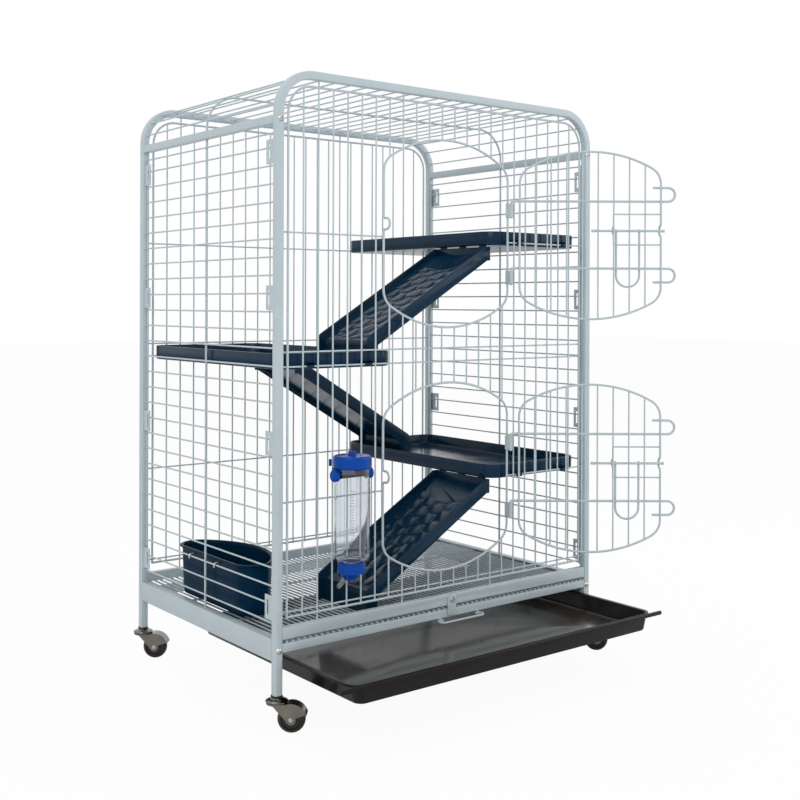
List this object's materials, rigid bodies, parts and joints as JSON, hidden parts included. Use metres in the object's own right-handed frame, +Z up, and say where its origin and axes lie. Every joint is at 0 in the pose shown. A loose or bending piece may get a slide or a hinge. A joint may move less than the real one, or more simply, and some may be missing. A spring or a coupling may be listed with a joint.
{
  "type": "ferret cage",
  "caption": "Tall wire pet cage on swivel casters with hinged doors, shelves joined by ramps, a floor grate over a slide-out tray, a bowl and a pull-off water bottle.",
  "frame": {"origin": "on the floor, midway between the four posts", "axes": "+Z up, +X to the right seen from the front, +Y from the front to the back; doors drawn open and tray partly out"},
  "size_m": [0.6836, 0.62, 0.936],
  "materials": {
    "frame_steel": "pale blue-grey powder coat, satin",
    "zinc_steel": "zinc plated",
    "navy_plastic": "dark navy, slight sheen",
    "bowl_plastic": "dark blue gloss",
    "black_tray": "black gloss",
    "black_insert": "black, matt",
    "blue_cap": "bright blue gloss",
    "bottle_clear": "clear",
    "wheel_black": "black, satin"
  },
  "bodies": {
    "cage_frame": {"front_hoop": "frame_steel", "rear_hoop": "frame_steel", "front_panel": "frame_steel", "back_panel": "frame_steel", "left_panel": "frame_steel", "right_panel": "frame_steel", "top_grille": "frame_steel", "left_top_rail": "frame_steel", "right_top_rail": "frame_steel", "left_base_plate": "frame_steel", "right_base_plate": "frame_steel", "front_upper_rail": "frame_steel", "front_lower_rail": "frame_steel", "rear_upper_rail": "frame_steel", "rear_lower_rail": "frame_steel", "panel_tabs": "frame_steel", "frame_bolts": "zinc_steel", "floor_grate": "frame_steel", "latch_screw": "zinc_steel", "upper_door_clips": "frame_steel", "lower_door_clips": "frame_steel", "top_shelf": "navy_plastic", "middle_shelf": "navy_plastic", "lower_shelf": "navy_plastic", "upper_ramp": "navy_plastic", "middle_ramp": "navy_plastic", "lower_ramp": "navy_plastic", "bowl": "bowl_plastic", "bowl_fixings": "zinc_steel", "bottle_holder": "blue_cap", "post_inserts": "black_insert", "caster_stems": "zinc_steel"},
    "upper_door_body": {"upper_door": "frame_steel"},
    "upper_bolt_body": {"upper_door_bolt": "frame_steel"},
    "lower_door_body": {"lower_door": "frame_steel"},
    "lower_bolt_body": {"lower_door_bolt": "frame_steel"},
    "tray_body": {"tray": "black_tray"},
    "latch_body": {"grate_latch": "frame_steel"},
    "bail_body": {"tray_bail": "frame_steel"},
    "bottle": {"bottle_body": "bottle_clear", "bottle_top_cap": "blue_cap", "bottle_lower_cap": "blue_cap", "bottle_spout": "zinc_steel", "bottle_ball": "zinc_steel"},
    "front_left_caster": {"front_left_fork": "zinc_steel", "front_left_axle": "zinc_steel"},
    "front_left_roller": {"front_left_wheel": "wheel_black"},
    "front_right_caster": {"front_right_fork": "zinc_steel", "front_right_axle": "zinc_steel"},
    "front_right_roller": {"front_right_wheel": "wheel_black"},
    "rear_left_caster": {"rear_left_fork": "zinc_steel", "rear_left_axle": "zinc_steel"},
    "rear_left_roller": {"rear_left_wheel": "wheel_black"},
    "rear_right_caster": {"rear_right_fork": "zinc_steel", "rear_right_axle": "zinc_steel"},
    "rear_right_roller": {"rear_right_wheel": "wheel_black"}
  },
  "joints": [
    {"name": "upper_door_hinge", "type": "hinge", "parent": "cage_frame", "child": "upper_door_body", "pos_m": [0.1279, -0.223, 0.713], "axis": [0, 0, 1], "range_deg": [-142, 28]},
    {"name": "upper_bolt_slide", "type": "slide", "parent": "upper_door_body", "child": "upper_bolt_body", "axis": [0.788, -0.6157, 0], "range_m": [0, 0.015]},
    {"name": "lower_door_hinge", "type": "hinge", "parent": "cage_frame", "child": "lower_door_body", "pos_m": [0.1279, -0.223, 0.332], "axis": [0, 0, 1], "range_deg": [-142, 28]},
    {"name": "lower_bolt_slide", "type": "slide", "parent": "lower_door_body", "child": "lower_bolt_body", "axis": [0.788, -0.6157, 0], "range_m": [0, 0.015]},
    {"name": "tray_slide", "type": "slide", "parent": "cage_frame", "child": "tray_body", "axis": [0, 1, 0], "range_m": [-0.275, 0.146]},
    {"name": "latch_pivot", "type": "hinge", "parent": "cage_frame", "child": "latch_body", "pos_m": [0.004, -0.2209, 0.138], "axis": [0, 1, 0], "range_deg": [-120, 120]},
    {"name": "bail_swing", "type": "hinge", "parent": "cage_frame", "child": "bail_body", "pos_m": [0.019, -0.222, 0.108], "axis": [-1, 0, 0], "range_deg": [0, 60]},
    {"name": "bottle_pull", "type": "slide", "parent": "cage_frame", "child": "bottle", "axis": [0, -1, 0], "range_m": [0, 0.06]},
    {"name": "front_left_swivel", "type": "hinge", "parent": "cage_frame", "child": "front_left_caster", "pos_m": [-0.314, -0.214, 0.0415], "axis": [0, 0, 1], "continuous": true},
    {"name": "front_left_roll", "type": "hinge", "parent": "front_left_caster", "child": "front_left_roller", "pos_m": [-0.29791, -0.2275, 0.02], "axis": [0.6428, 0.766, 0], "continuous": true},
    {"name": "front_right_swivel", "type": "hinge", "parent": "cage_frame", "child": "front_right_caster", "pos_m": [0.314, -0.214, 0.0415], "axis": [0, 0, 1], "continuous": true},
    {"name": "front_right_roll", "type": "hinge", "parent": "front_right_caster", "child": "front_right_roller", "pos_m": [0.33009, -0.2275, 0.02], "axis": [0.6428, 0.766, 0], "continuous": true},
    {"name": "rear_left_swivel", "type": "hinge", "parent": "cage_frame", "child": "rear_left_caster", "pos_m": [-0.314, 0.214, 0.0415], "axis": [0, 0, 1], "continuous": true},
    {"name": "rear_left_roll", "type": "hinge", "parent": "rear_left_caster", "child": "rear_left_roller", "pos_m": [-0.29791, 0.2005, 0.02], "axis": [0.6428, 0.766, 0], "continuous": true},
    {"name": "rear_right_swivel", "type": "hinge", "parent": "cage_frame", "child": "rear_right_caster", "pos_m": [0.314, 0.214, 0.0415], "axis": [0, 0, 1], "continuous": true},
    {"name": "rear_right_roll", "type": "hinge", "parent": "rear_right_caster", "child": "rear_right_roller", "pos_m": [0.33009, 0.2005, 0.02], "axis": [0.6428, 0.766, 0], "continuous": true}
  ]
}
